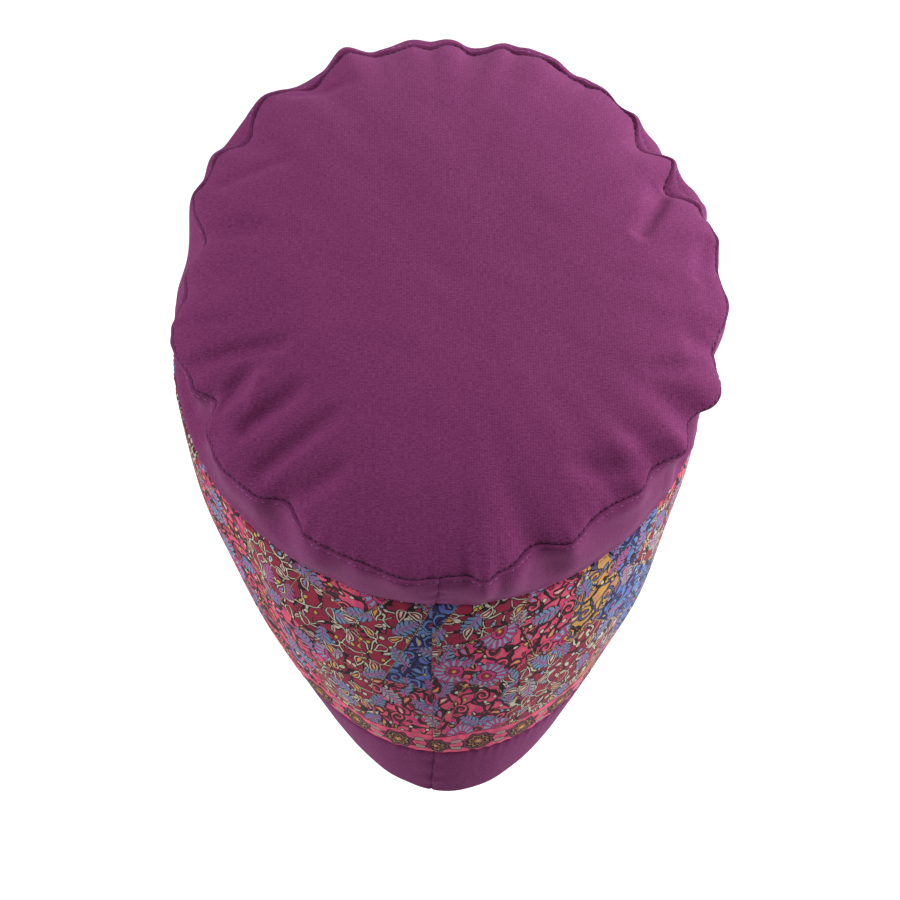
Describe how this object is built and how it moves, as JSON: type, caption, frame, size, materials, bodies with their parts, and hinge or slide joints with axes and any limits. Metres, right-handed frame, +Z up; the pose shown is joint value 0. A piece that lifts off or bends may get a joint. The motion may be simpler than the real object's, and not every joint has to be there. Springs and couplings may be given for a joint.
{
  "type": "turban",
  "caption": "Pull-on knitted turban cap: a round, tipped-back crown eased into a plain side panel, a printed band and a folded rim around the open head hole.",
  "frame": {"origin": "middle of the head opening, level with the rim at the ears", "axes": "+Z up along the wearer's head, +Y towards the back of the head, +X towards the wearer's left"},
  "size_m": [0.218, 0.2507, 0.2252],
  "materials": {
    "plum_jersey": "fine matt knit",
    "printed_jersey": "fine matt knit, printed"
  },
  "bodies": {
    "root": {"crown_panel": "plum_jersey", "side_panel": "plum_jersey", "print_band": "printed_jersey", "rim_band": "plum_jersey"}
  },
  "joints": []
}
